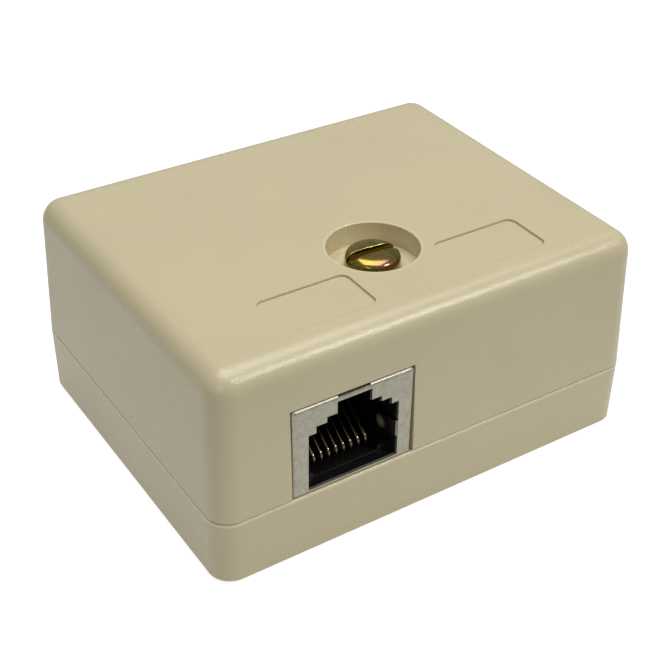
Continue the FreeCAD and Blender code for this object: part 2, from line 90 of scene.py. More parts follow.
# ---------------------------------------------------------------------------- sizes and colours
class JackBoxColours(bpy.types.PropertyGroup):
    """Colours of the finishes."""
    case: colour_property("Case", "Ivory ABS of the base and the cover", "C4B996")
    jack_plastic: colour_property("Jack plastic", "Black moulding inside the shield", "0B0B0C")
    shield: colour_property("Shield", "Tinned sheet round the jack", "A8A597")
    # Painted shade on the earth springs inside the mouth.
    spring_painted_shade: colour_property("Earth springs, dull", "Bronze near the plate", "2C2822")
    # Painted highlight: the springs' glint.
    spring: colour_property("Earth springs", "Where plugs rub them bright", "F2EAD6")
    zinc_gold: colour_property("Zinc, gold", "Yellow chromate where the film is thin", "8E7A30")
    zinc_green: colour_property("Zinc, green", "Yellow chromate where the film is thicker", "6C6E2A")
    zinc_pink: colour_property("Zinc, pink", "Yellow chromate where the film is thickest", "8A6A4C")
    gilt: colour_property("Gilding", "Contact wires", "7E7054")
    brass: colour_property("Brass", "Threaded insert", "C8A558")
    board: colour_property("Board", "Solder mask over the laminate", "23603B")
    block: colour_property("Wiring blocks", "Natural polycarbonate", "DCDACE")
    steel: colour_property("Plated steel", "Small screws and cable clamp", "C4C6C8")
    tin: colour_property("Tinned bronze", "Terminals", "C9C7BF")


class JackBoxCoverScrew(bpy.types.PropertyGroup):
    """Sizes of the slotted cover screw."""
    shank_length: length_property("Shank", "Length under the head", 9.8)
    shank_radius: length_property("Shank radius", "Over the thread", 1.75)
    head_side: length_property("Head side", "Upright side of the head", 0.75)
    fullness: number_property("Fullness", "Crown's power: 2 is an ellipse", 3.7)
    slot_width: length_property("Slot width", "Across the slot", 1.2)
    slot_depth: length_property("Slot depth", "Below the crown's top", 1.25)
    slot_turn: angle_property("Slot turn", "From the case's length, as it was left", -4)
    edge_break: length_property("Edge break", "Radius on the slot's edges", 0.13)
    pitch: length_property("Pitch", "One turn of the thread", 0.6)
    thread_depth: length_property("Thread depth", "Crest to root", 0.33)


class JackBoxSmallScrew(bpy.types.PropertyGroup):
    """Sizes of the cross recess self-tapping screws."""
    head_height: length_property("Head height", "Above its seat", 1.5)
    head_radius: length_property("Head radius", "Pan head", 2.2)
    shank_radius: length_property("Shank radius", "Over the thread", 1.1)
    pitch: length_property("Pitch", "One turn of the thread", 0.95)
    thread_depth: length_property("Thread depth", "Crest to root", 0.3)
    recess_depth: length_property("Recess depth", "At the middle", 0.85)
    recess_reach: length_property("Recess reach", "Half the length of the cross", 1.3)
    recess_width: length_property("Recess width", "Across each arm", 0.5)


class JackBoxContact(bpy.types.PropertyGroup):
    """Sizes of the jack's contact wires."""
    thickness: length_property("Thickness", "In the plane of the bends", 0.35)
    run_height: length_property("Run height", "Lower run above the board", 0.75)
    bend: length_property("Front bend", "Radius at the wire's middle", 0.75)
    tail_bend: length_property("Tail bend", "Radius at the wire's middle", 0.45)
    slope: angle_property("Slope", "Upper run", 36)
    upper_run: length_property("Upper run", "Length of the sloping part", 8.4)


class JackBoxStage(bpy.types.PropertyGroup):
    """Camera, lamps and floor."""
    azimuth: angle_property("Azimuth", "Round to the left from straight in front", 34.053)
    elevation: angle_property("Elevation", "Above level", 34.786)
    roll: angle_property("Roll", "Turn about the line of sight", -1.28)
    distance: length_property("Distance", "From the aim point", 173.449)
    aim_height: length_property("Aim height", "Of the aim point on the case's middle line", 13.4)
    pan_right: length_property("Pan right", "Camera moved to its right", 2.651)
    pan_down: length_property("Pan down", "Camera moved down", 2.248)
    lens: number_property("Lens", "Focal length on a 36 mm sensor", 72.23)
    shift: number_property("Shift", "Lens moved sideways, of the frame's width", -0.0285)
    ambient: number_property("Ambient", "Light from all round", 0.16)
    mirrored: number_property("Mirrored", "White that reflections see", 0.4)
    overhead: number_property("Overhead", "Share of a full light level", 0.9)
    key: number_property("Key", "Share of a full light level", 0.27)
    fill: number_property("Fill", "Share of a full light level", 0.07)
    floor: colour_property("Floor", "Plain pale floor", "CCCCCA")


# ---------------------------------------------------------------------------- mesh from grids of points
def grid_quads(rows, columns, closed):
    """Corner numbers of the faces of a grid of points; closed joins its last column to its first."""
    index = np.arange(rows * columns).reshape(rows, columns)
    if closed:
        index = np.hstack([index, index[:, :1]])
    return np.stack([index[:-1, :-1], index[:-1, 1:], index[1:, 1:], index[1:, :-1]], -1).reshape(-1, 4)


def closed_tube(rings, open_start=False):
    """Rings of points, one after the other, joined to a tube with a fan of triangles over its ends.

    Gives the points and a list of arrays of corner numbers, as every shape here does.
    """
    count, around, _ = rings.shape
    here = np.arange(around)
    after, last = np.roll(here, -1), (count - 1) * around
    ends = [(rings[-1], last + here, last + after)]
    if not open_start:
        ends.insert(0, (rings[0], after, here))
    points, faces = [rings.reshape(-1, 3)], [grid_quads(count, around, True)]
    for number, (ring, first, second) in enumerate(ends):
        points.append(ring.mean(0)[None])
        faces.append(np.stack([first, second, np.full(around, count * around + number)], -1))
    return np.vstack(points), faces


def joined(shapes):
    """Several shapes as one."""
    starts = np.cumsum([0] + [len(points) for points, _ in shapes])
    return (np.vstack([points for points, _ in shapes]),
            [block + start for (_, faces), start in zip(shapes, starts) for block in faces])


def add_piece(name, shape, body, material, node, crease=35):
    """Puts a shape into a mesh, welds it, turns its faces outwards and lets it stand for a CAD node."""
    points, faces = shape
    mesh = bpy.data.meshes.new(name)
    mesh.from_pydata(points.tolist(), [], [face for block in faces for face in block.tolist()])
    work = bmesh.new()
    work.from_mesh(mesh)
    bmesh.ops.remove_doubles(work, verts=work.verts, dist=1e-7)
    bmesh.ops.recalc_face_normals(work, faces=work.faces)
    work.to_mesh(mesh)
    work.free()
    mesh.shade_smooth()
    mesh.set_sharp_from_angle(angle=math.radians(crease))
    mesh.materials.append(material)
    piece = bpy.data.objects.new(name, mesh)
    bpy.context.scene.collection.objects.link(piece)
    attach(piece, body)
    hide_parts(node)


def dress(nodes, material):
    """Gives CAD nodes their finish."""
    for name in nodes:
        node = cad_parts[name]
        if not node.material_slots:
            node.data.materials.append(material)
        node.material_slots[0].material = material


def triangle_wave(turns):
    """0 at each whole turn, rising evenly to 1 half way and falling back."""
    return 1 - np.abs(2 * (turns % 1) - 1)


def smooth_step(value):
    """0 below 0, 1 above 1, and a smooth cubic between them."""
    share = np.clip(value, 0, 1)
    return share * share * (3 - 2 * share)


def circle(steps):
    """Unit directions round the axis and their angles, the first along X."""
    angle = np.linspace(0, 2 * math.pi, steps + 1)[:-1]
    return np.stack([np.cos(angle), np.sin(angle)], -1), angle


def level_ring(unit, radius, height):
    """One ring of points along unit directions."""
    return np.column_stack([radius * unit, np.full(len(unit), height)])


# ---------------------------------------------------------------------------- shapes
def threaded_shank(across, radius, depth, pitch, bottom, point, rows_per_turn=10):
    """Rings from the origin down to the bottom along unit directions across.

    The radius is the outside radius less the thread's depth times one minus a clipped triangle wave of
    height over pitch less the angle over a whole turn; the thread fades in over 1.2 turns, and the last rings
    draw in by 0.65 of their radius over the point's length.
    """
    height = np.linspace(0, bottom, int(-bottom / pitch * rows_per_turn))[:, None]
    angle = np.arctan2(across[:, 1], across[:, 0])[None, :]
    crest = np.clip(1.5 * triangle_wave(height / pitch - angle / (2 * math.pi)) - 0.2, 0, 1)
    fade = smooth_step(-height / (1.2 * pitch))
    drawn_in = 0.65 * np.clip((bottom + point - height) / point, 0, 1)
    reach = (radius - depth * fade * (1 - crest)) * (1 - drawn_in)
    return np.stack([reach * across[None, :, 0], reach * across[None, :, 1], height + 0 * reach], -1)


def slotted_screw(sizes, radius, height):
    """Pan head screw with a straight slot, its seat at the origin and the slot along X.

    The top is a height over a disc: rows lie across the slot and columns run along it to the rim. The crown is
    side + rise * (1 - (r / R) ^ p) ^ (1 / p). Rows at the slot's edges drop round a quarter circle, then down the
    wall, and rows between them lie on the slot's floor, or on the crown where that is lower. The rim of that
    disc is the first ring of the head's side, its underside and the threaded shank.
    """
    half, round_off = sizes.slot_width / 2, sizes.edge_break
    wall_lean = 0.01 * MM
    point_length = 0.7 * MM
    outer = half + round_off + (radius - half - round_off) * np.cos(np.linspace(0, math.pi / 2, 22))
    turn = np.linspace(0, math.pi / 2, 5)[1:]
    edge = half + round_off * (1 - np.sin(turn))
    floor = np.linspace(half - wall_lean, 0, 3)
    across = np.concatenate([outer, edge, floor])
    drop = np.concatenate([0 * outer, round_off * (1 - np.cos(turn)), 0 * floor])
    on_floor = np.concatenate([0 * outer, 0 * edge, 0 * floor + 1])
    # The middle row is shared by both halves, and the second half mirrors the first.
    across = np.concatenate([across, -across[-2::-1]])[:, None]
    drop = np.concatenate([drop, drop[-2::-1]])[:, None]
    on_floor = np.concatenate([on_floor, on_floor[-2::-1]])[:, None] > 0
    reach = np.sqrt(np.maximum(radius ** 2 - across ** 2, 0))
    along = reach * np.sin(np.linspace(-math.pi / 2, math.pi / 2, 41))[None, :]
    share = np.clip(np.hypot(along, across) / radius, 0, 1)
    power = sizes.fullness
    crown = sizes.head_side + (height - sizes.head_side) * (1 - share ** power) ** (1 / power)
    slot_floor = np.minimum(height - sizes.slot_depth, crown)
    top = np.where(on_floor, slot_floor, np.maximum(crown - drop, slot_floor))
    disc = np.stack([along, across + 0 * along, top], -1)
    rim = np.concatenate([disc[:, -1], disc[-2:0:-1, 0]])
    unit = rim[:, :2] / radius
    underside = [level_ring(unit, radius - inset * MM, up * MM) for inset, up in ((0, 0.16), (0.05, 0.05), (0.16, 0))]
    shank = threaded_shank(unit, sizes.shank_radius, sizes.thread_depth, sizes.pitch, -sizes.shank_length,
                           point_length)
    rings = np.concatenate([rim[None], np.stack(underside), shank])
    return joined([(disc.reshape(-1, 3), [grid_quads(*disc.shape[:2], False)]),
                   closed_tube(rings, open_start=True)])


def cross_recess_screw(sizes, shank_length):
    """Pan head self-tapping screw, its seat at the origin, as rings about its axis from the top to the point.

    The head's outline is a quarter superellipse of radius and height over a straight side. A cross is sunk into
    it: its depth falls from the middle to the end of each arm, times a smooth step over the distance to the
    arm's side.
    """
    unit, _ = circle(96)
    side_share, power = 0.28, 2.6
    shoulder = 0.72
    arm_edge = 0.16 * MM
    point_length = 1.4 * MM
    rounded = np.sin(np.linspace(np.arcsin(shoulder), math.pi / 2, 12))[1:]
    share = np.concatenate([np.linspace(0.01, shoulder, 34), rounded])[:, None]
    crown = sizes.head_height * (side_share + (1 - side_share) * (1 - share ** power) ** (1 / power))
    x, y = (share * sizes.head_radius * unit[None, :, axis] for axis in (0, 1))
    arm = smooth_step((sizes.recess_width / 2 - np.minimum(np.abs(x), np.abs(y))) / arm_edge + 0.5)
    reach = np.clip(1 - np.hypot(x, y) / sizes.recess_reach, 0, 1)
    head = np.stack([x, y, crown - sizes.recess_depth * arm * np.sqrt(reach)], -1)
    underside = [level_ring(unit, sizes.head_radius, 0.1 * MM), level_ring(unit, 0.96 * sizes.head_radius, 0)]
    shank = threaded_shank(unit, sizes.shank_radius, sizes.thread_depth, sizes.pitch, -shank_length, point_length)
    return closed_tube(np.concatenate([head, np.stack(underside), shank]))


def knurled_insert(outside, bore, length, pitch):
    """Brass insert standing on the origin: one closed outline carried round the axis.

    Outside, the radius is less by a triangle wave of 32 ridges a turn, except in a plain band at the middle and
    in the chamfers; inside, a vee thread is cut into the wall.
    """
    chamfer = 0.25 * MM
    ridges, ridge_depth = 32, 0.16 * MM
    band_half, band_edge, band_depth = 0.45 * MM, 0.15 * MM, 0.28 * MM
    thread_depth = 0.22 * MM
    unit, angle = circle(192)
    turns = angle[None, :] / (2 * math.pi)
    up = np.linspace(0, length, 60)[:, None]
    ends = np.clip(np.minimum(up, length - up) / chamfer, 0, 1)
    band = 1 - smooth_step((np.abs(up - length / 2) - band_half) / band_edge)
    knurl = ridge_depth * triangle_wave(turns * ridges) * (1 - band) + band_depth * band
    outer = outside - knurl - chamfer * (1 - ends)
    down = np.linspace(length, 0, 100)[:, None]
    inner = bore + thread_depth * (1 - triangle_wave(down / pitch - turns))
    radius, height = np.vstack([outer, inner]), np.vstack([up + 0 * turns, down + 0 * turns])
    points = np.stack([radius * unit[:, 0], radius * unit[:, 1], height], -1)
    rings = np.concatenate([points, points[:1]])
    return rings.reshape(-1, 3), [grid_quads(len(rings), rings.shape[1], True)]


def contact_wire(sizes, width, x, tail_y, tail_z, bend_y, run_z):
    """Round-edged flat wire: a superellipse carried along straight runs joined by arcs, with rounded ends.

    The path lies in an upright plane: up the tail, a quarter turn forwards, the lower run, the front bend and
    the sloping upper run. The heading stays along the runs and turns evenly along the arcs, and a point is the
    sum of the steps taken in that heading. The section shrinks as a quarter circle towards both ends.
    """
    tip = 0.14 * MM
    squareness = 0.55
    turn = math.pi - sizes.slope
    # Length, change of heading and steps of each run
    runs = [(tip, 0, 6), (run_z - sizes.tail_bend - tail_z - tip, 0, 8),
            (sizes.tail_bend * math.pi / 2, math.pi / 2, 14), (tail_y - sizes.tail_bend - bend_y, 0, 10),
            (sizes.bend * turn, -turn, 36), (sizes.upper_run - tip, 0, 20), (tip, 0, 6)]
    step = np.concatenate([np.full(steps, length / steps) for length, _, steps in runs])
    bend = np.concatenate([np.full(steps, angle / steps) for _, angle, steps in runs])
    middle = math.pi / 2 + np.cumsum(bend) - bend / 2
    heading = math.pi / 2 + np.concatenate([[0], np.cumsum(bend)])
    y = tail_y + np.concatenate([[0], np.cumsum(step * np.cos(middle))])
    z = tail_z + np.concatenate([[0], np.cumsum(step * np.sin(middle))])
    gone = np.concatenate([[0], np.cumsum(step)])
    left = np.minimum(gone, gone[-1] - gone)
    scale = np.sqrt(np.maximum(1 - np.clip(1 - left / tip, 0, 1) ** 2, 0.0004))[:, None]
    flat, high = (np.sign(part) * np.abs(part) ** squareness for part in circle(20)[0].T)
    off = scale * high[None, :] * sizes.thickness / 2
    rings = np.stack([x + scale * flat[None, :] * width / 2, y[:, None] - np.sin(heading)[:, None] * off,
                      z[:, None] + np.cos(heading)[:, None] * off], -1)
    return closed_tube(rings)


# ---------------------------------------------------------------------------- shader nodes
def per(millimetres):
    """Noise scale that makes its features about that many millimetres across."""
    return 1 / (millimetres * MM)


def add(tree, kind, inputs=None, **settings):
    """Adds a shader node, sets its settings, and gives each named or numbered input a value or a link."""
    made = tree.nodes.new("ShaderNode" + kind)
    for name, value in settings.items():
        setattr(made, name, value)
    for name, value in (inputs or {}).items():
        if isinstance(value, bpy.types.NodeSocket):
            tree.links.new(value, made.inputs[name])
        else:
            made.inputs[name].default_value = value
    return made


def noise(tree, place, feature, **inputs):
    """Cloudy pattern with features that many millimetres across."""
    return add(tree, "TexNoise", {"Vector": place, "Scale": per(feature), **inputs}).outputs["Fac"]


def spread(tree, value, low, high, start=0.3, end=0.7):
    """Carries a value from start to end over to the range from low to high, and holds it there."""
    return add(tree, "MapRange", {"Value": value, "From Min": start, "From Max": end, "To Min": low,
                                  "To Max": high}).outputs[0]


def calculate(tree, operation, *values):
    """One step of arithmetic on values and links."""
    return add(tree, "Math", dict(enumerate(values)), operation=operation).outputs[0]


def blend(tree, share, first, second):
    """Colour that goes from the first to the second with the share."""
    return add(tree, "Mix", {0: share, 6: first, 7: second}, data_type="RGBA").outputs[2]


def overlap(tree, *masks):
    """1 where all masks are 1."""
    both = calculate(tree, "MULTIPLY", masks[0], masks[1])
    return overlap(tree, both, *masks[2:]) if masks[2:] else both


def distance_from(tree, place, point, keep):
    """Distance from a point, along the directions to keep."""
    kept = add(tree, "Mapping", {"Vector": place, "Scale": keep}, vector_type="POINT")
    return add(tree, "VectorMath", {0: kept.outputs[0], 1: point}, operation="DISTANCE").outputs["Value"]


def coordinates(tree, place):
    """X, Y and Z of a place."""
    return add(tree, "SeparateXYZ", {"Vector": place}).outputs


def solid(colour, factor=1.0):
    """Linear colour as the four numbers a socket takes, lighter or darker by the factor."""
    return tuple(min(part * factor, 1) for part in colour) + (1,)


def new_finish(name):
    """Empty material, its node tree and the Object coordinates of what it is on."""
    material = bpy.data.materials.new(name)
    material.use_nodes = True
    material.node_tree.nodes.clear()
    return material, material.node_tree, add(material.node_tree, "TexCoord").outputs["Object"]


def surface(tree, inputs, height, strength, depth):
    """Ends a finish: a shader with these inputs and a bump of that strength and depth from the height."""
    bump = add(tree, "Bump", {"Strength": strength, "Distance": depth, "Height": height})
    shader = add(tree, "BsdfPrincipled", {**inputs, "Normal": bump.outputs[0]})
    add(tree, "OutputMaterial", {"Surface": shader.outputs[0]})


# ---------------------------------------------------------------------------- finishes
def moulded_abs(colours):
    """Ivory ABS from a spark-eroded mould: the fine even grain breaks highlights into small glints."""
    material, tree, place = new_finish("moulded_abs_spark_eroded")
    # The mould's craters are about 0.1 mm wide. They are drawn 0.2 mm wide so that they show.
    grain = noise(tree, place, 0.2, Detail=3.0, Roughness=0.6)
    crater = add(tree, "TexVoronoi", {"Vector": place, "Scale": per(0.24), "Randomness": 1.0}, feature="SMOOTH_F1")
    depth = calculate(tree, "MULTIPLY_ADD", crater.outputs["Distance"], 0.5, grain)
    flow = noise(tree, place, 11, Detail=2.0, Roughness=0.5)
    colour = blend(tree, spread(tree, flow, 0, 1), solid(colours.case, 0.975), solid(colours.case, 1.02))
    colour = blend(tree, spread(tree, grain, 0, 0.35), colour, solid(colours.case, 0.93))
    low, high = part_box("cover")
    x, y, z = coordinates(tree, place)
    # The base's edge along the seam carries a painted highlight over 0.4 mm, where a proud edge would catch the
    # light.
    rim = calculate(tree, "COMPARE", z, low.z - 0.37 * MM, 0.2 * MM)
    colour = blend(tree, rim, colour, solid(colours.case, 1.22))
    # A painted shade line lies along the front edge of each label panel, 10 mm long and 0.24 mm wide. The panels are
    # as far from the middle as the jack.
    shield_low, shield_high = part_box("jack_shield")
    aside = calculate(tree, "ABSOLUTE", x)
    painted_edge_shade = overlap(tree, calculate(tree, "COMPARE", aside, -(shield_low.x + shield_high.x) / 2, 5 * MM),
                   calculate(tree, "COMPARE", y, low.y + 4.7 * MM, 0.12 * MM),
                   calculate(tree, "COMPARE", z, high.z, 0.3 * MM))
    colour = blend(tree, painted_edge_shade, colour, solid(colours.case, 0.86))
    # The screw's well and its rim are painted paler: painted light in the well's shaded floor and walls.
    screw_low, screw_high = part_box("cover_screw")
    from_screw = distance_from(tree, place, (0, (screw_low.y + screw_high.y) / 2, 0), (1, 1, 0))
    colour = blend(tree, spread(tree, from_screw, 0, 1, 6.1 * MM, 5.7 * MM), colour, solid(colours.case, 1.2))
    surface(tree, {"Base Color": colour, "Roughness": spread(tree, grain, 0.19, 0.29), "IOR": 1.54},
            depth, 0.9, 0.032 * MM)
    return material


def moulded_black(colours):
    """Glass-filled polyester, injection moulded from a polished tool: deep black with soft reflections."""
    material, tree, place = new_finish("moulded_pbt_black")
    flow = noise(tree, place, 0.5, Detail=4.0)
    colour = blend(tree, flow, solid(colours.jack_plastic, 0.8), solid(colours.jack_plastic, 1.3))
    surface(tree, {"Base Color": colour, "Roughness": spread(tree, flow, 0.3, 0.42), "IOR": 1.6},
            flow, 0.2, 0.01 * MM)
    return material


def tinned_sheet(colours):
    """Rolled and tin-plated sheet: satin grey with fine rolling lines and faint cloudy handling marks.

    The earth springs inside the mouth are painted dark as shade, with a painted highlight where their glint falls.
    """
    material, tree, place = new_finish("tinned_sheet_rolled")
    # Rolling lines are some hundredths of a millimetre apart. They are drawn 0.2 mm apart and 6 mm long.
    along = add(tree, "Mapping", {"Vector": place, "Scale": (0.033, 0.033, 1.0)}, vector_type="POINT")
    lines = noise(tree, along.outputs[0], 0.2, Detail=3.0)
    cloud = noise(tree, place, 0.5, Detail=5.0, Roughness=0.65)
    grit = noise(tree, place, 0.22, Detail=2.0)
    plate = blend(tree, spread(tree, cloud, 0, 1, 0.35, 0.65), solid(colours.shield, 0.86),
                  solid(colours.shield, 1.18))
    low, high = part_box("jack_shield")
    x, y, z = coordinates(tree, place)
    # The springs lie inside the mouth's sides, up to 6.1 mm behind the plate and 3 mm below the shield's top.
    # Inside this mask the springs are painted dark: painted shade, as the mouth's inside gets little light.
    spring = overlap(tree, calculate(tree, "COMPARE", x, (low.x + high.x) / 2, 6.4 * MM),
                     calculate(tree, "COMPARE", y, low.y + 3.2 * MM, 2.9 * MM),
                     calculate(tree, "LESS_THAN", z, high.z - 3 * MM))
    # A painted highlight, 0.35 to 1.0 mm round a spot 2.6 mm behind the plate, stands for the springs' glint.
    from_painted_glint = distance_from(tree, place, (0, low.y + 2.6 * MM, low.z + 6.2 * MM), (0, 1, 1))
    bronze = blend(tree, spread(tree, from_painted_glint, 0, 1, 1.0 * MM, 0.35 * MM), solid(colours.spring_painted_shade),
                   solid(colours.spring))
    gloss = add(tree, "Mix", {0: spring, 2: spread(tree, cloud, 0.34, 0.5), 3: 0.46})
    relief = calculate(tree, "MULTIPLY_ADD", lines, 0.6, grit)
    surface(tree, {"Base Color": blend(tree, spring, plate, bronze), "Metallic": 1.0,
                   "Roughness": gloss.outputs[0]}, relief, 0.25, 0.01 * MM)
    return material


def yellow_zinc(colours):
    """Zinc-plated steel with a yellow chromate: a bright metal whose film drifts from gold to green and pink."""
    material, tree, place = new_finish("zinc_yellow_chromate")
    film = noise(tree, place, 1.9, Detail=2.0, Distortion=0.6)
    grain = noise(tree, place, 0.16, Detail=2.0)
    colour = blend(tree, spread(tree, film, 0, 1, 0.52, 0.6), solid(colours.zinc_gold), solid(colours.zinc_green))
    colour = blend(tree, spread(tree, film, 0, 1, 0.44, 0.36), colour, solid(colours.zinc_pink))
    # The slot, cut 0.45 mm and more below the crown, is left dull and brown.
    low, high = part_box("cover_screw")
    from_axis = distance_from(tree, place, ((low.x + high.x) / 2, (low.y + high.y) / 2, 0), (1, 1, 0))
    within = calculate(tree, "LESS_THAN", from_axis, 0.42 * (high.x - low.x))
    below = calculate(tree, "LESS_THAN", coordinates(tree, place)["Z"], high.z - 0.45 * MM)
    slot = overlap(tree, within, below)
    gloss = add(tree, "Mix", {0: slot, 2: spread(tree, grain, 0.14, 0.24), 3: 0.6})
    surface(tree, {"Base Color": blend(tree, slot, colour, solid(colours.zinc_gold, 0.9)), "Metallic": 1.0,
                   "Roughness": gloss.outputs[0], "Coat Weight": 0.3, "Coat Roughness": 0.05},
            grain, 0.15, 0.01 * MM)
    return material


def bright_metal(name, colour, feature, low, high):
    """Drawn, rolled or turned metal: its tone and gloss drift over a feature size, also in the bump.

    Gilt wires read dark with sharp glints, tin whiter and softer, machined brass warmer.
    """
    material, tree, place = new_finish(name)
    drift = noise(tree, place, feature, Detail=4.0)
    surface(tree, {"Base Color": blend(tree, drift, solid(colour, 0.82), solid(colour, 1.12)), "Metallic": 1.0,
                   "Roughness": spread(tree, drift, low, high)}, drift, 0.15, 0.01 * MM)
    return material


def masked_laminate(colours):
    """Glass-epoxy board under green solder mask: tracks show as raised, paler lines in a glossy film."""
    material, tree, place = new_finish("fr4_green_solder_mask")
    # Tracks are 0.4 mm wide and lie 1.3 mm apart.
    black, white = (0, 0, 0, 1), (1, 1, 1, 1)
    tracks = add(tree, "TexBrick", {"Vector": place, "Scale": per(1.3), "Mortar Size": 0.16, "Mortar Smooth": 0.2,
                                    "Brick Width": 5.0, "Row Height": 1.0, "Color1": black, "Color2": black,
                                    "Mortar": white}).outputs["Color"]
    weave = noise(tree, place, 0.6, Detail=3.0)
    ground = blend(tree, weave, solid(colours.board, 0.8), solid(colours.board, 1.1))
    colour = blend(tree, tracks, ground, solid(colours.board, 1.7))
    surface(tree, {"Base Color": colour, "Roughness": 0.3, "IOR": 1.5}, tracks, 0.4, 0.03 * MM)
    return material


def moulded_polycarbonate(colours):
    """Natural polycarbonate, injection moulded: milky, glossy, with faint flow marks."""
    material, tree, place = new_finish("moulded_polycarbonate_natural")
    flow = noise(tree, place, 3, Detail=3.0, Distortion=1.0)
    colour = blend(tree, flow, solid(colours.block, 0.94), solid(colours.block, 1.03))
    surface(tree, {"Base Color": colour, "Roughness": spread(tree, flow, 0.2, 0.32), "IOR": 1.585},
            flow, 0.1, 0.02 * MM)
    return material


# ---------------------------------------------------------------------------- operators
class CaseMouldings(bpy.types.Operator):
    """Finishes the base and the cover in grained ABS"""
    bl_idname = "jackbox.case_mouldings"
    bl_label = "Case Mouldings"

    def execute(self, context):
        dress(["base", "cover"], moulded_abs(context.scene.jackbox_colours))
        return {"FINISHED"}


class ModularJack(bpy.types.Operator):
    """Finishes the jack's shield, housing and contact carrier"""
    bl_idname = "jackbox.modular_jack"
    bl_label = "Modular Jack"

    def execute(self, context):
        colours = context.scene.jackbox_colours
        dress(["jack_shield"], tinned_sheet(colours))
        dress(["jack_housing", "contact_carrier"], moulded_black(colours))
        return {"FINISHED"}


class ContactWires(bpy.types.Operator):
    """Makes the jack's eight gilt contact wires"""
    bl_idname = "jackbox.contact_wires"
    bl_label = "Contact Wires"

    def execute(self, context):
        sizes = context.scene.jackbox_contact
        gilt = bright_metal("bronze_wire_gilt", context.scene.jackbox_colours.gilt, 0.5, 0.05, 0.1)
        board_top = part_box("circuit_board")[1].z
        for number in range(1, 9):
            node = "contact_%d" % number
            low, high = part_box(node)
            tail_y = high.y - sizes.thickness / 2
            bend_y = low.y + sizes.thickness / 2 + sizes.bend
            shape = contact_wire(sizes, high.x - low.x, (low.x + high.x) / 2, tail_y, low.z, bend_y,
                                 board_top + sizes.run_height)
            add_piece("contact_wire_%d" % number, shape, "case", gilt, node)
        return {"FINISHED"}


class CoverScrew(bpy.types.Operator):
    """Makes the slotted screw that holds the cover"""
    bl_idname = "jackbox.cover_screw"
    bl_label = "Cover Screw"

    def execute(self, context):
        sizes = context.scene.jackbox_cover_screw
        low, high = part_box("cover_screw")
        seat = low.z + sizes.shank_length
        points, faces = slotted_screw(sizes, (high.x - low.x) / 2, high.z - seat)
        turn = np.array(Matrix.Rotation(sizes.slot_turn, 3, "Z"))
        points = points @ turn.T + np.array([(low.x + high.x) / 2, (low.y + high.y) / 2, seat])
        add_piece("slotted_cover_screw", (points, faces), "screw",
                  yellow_zinc(context.scene.jackbox_colours), "cover_screw", crease=40)
        return {"FINISHED"}


class ThreadedInsert(bpy.types.Operator):
    """Makes the knurled brass insert in the base's tower"""
    bl_idname = "jackbox.threaded_insert"
    bl_label = "Threaded Insert"

    def execute(self, context):
        low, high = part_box("threaded_insert")
        screw = context.scene.jackbox_cover_screw
        thread_fit = 0.05 * MM
        points, faces = knurled_insert((high.x - low.x) / 2, screw.shank_radius + thread_fit, high.z - low.z,
                                       screw.pitch)
        points = points + np.array([(low.x + high.x) / 2, (low.y + high.y) / 2, low.z])
        brass = bright_metal("brass_turned", context.scene.jackbox_colours.brass, 0.8, 0.2, 0.34)
        add_piece("knurled_insert", (points, faces), "case", brass, "threaded_insert")
        return {"FINISHED"}


class SmallScrews(bpy.types.Operator):
    """Makes the cross recess screws of the board and of the cable clamp"""
    bl_idname = "jackbox.small_screws"
    bl_label = "Small Screws"

    def execute(self, context):
        sizes = context.scene.jackbox_small_screw
        steel = bright_metal("zinc_plated_steel", context.scene.jackbox_colours.steel, 0.7, 0.22, 0.36)
        for node in ("board_screws", "clamp_screws"):
            low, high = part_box(node)
            shank_length = high.z - low.z - sizes.head_height
            points, faces = cross_recess_screw(sizes, shank_length)
            y, z = (low.y + high.y) / 2, low.z + shank_length
            places = [(low.x + sizes.head_radius, y, z), (high.x - sizes.head_radius, y, z)]
            pair = joined([(points + np.array(place), faces) for place in places])
            add_piece("recessed_" + node, pair, "case", steel, node)
        dress(["cable_clamp"], steel)
        return {"FINISHED"}


class WiringBoard(bpy.types.Operator):
    """Finishes the circuit board, the wiring blocks and their terminals"""
    bl_idname = "jackbox.wiring_board"
    bl_label = "Wiring Board"

    def execute(self, context):
        colours = context.scene.jackbox_colours
        dress(["circuit_board"], masked_laminate(colours))
        dress(["front_idc_block", "rear_idc_block"], moulded_polycarbonate(colours))
        dress(["idc_terminal_%d" % number for number in range(1, 9)],
              bright_metal("bronze_strip_tinned", colours.tin, 0.6, 0.26, 0.4))
        return {"FINISHED"}


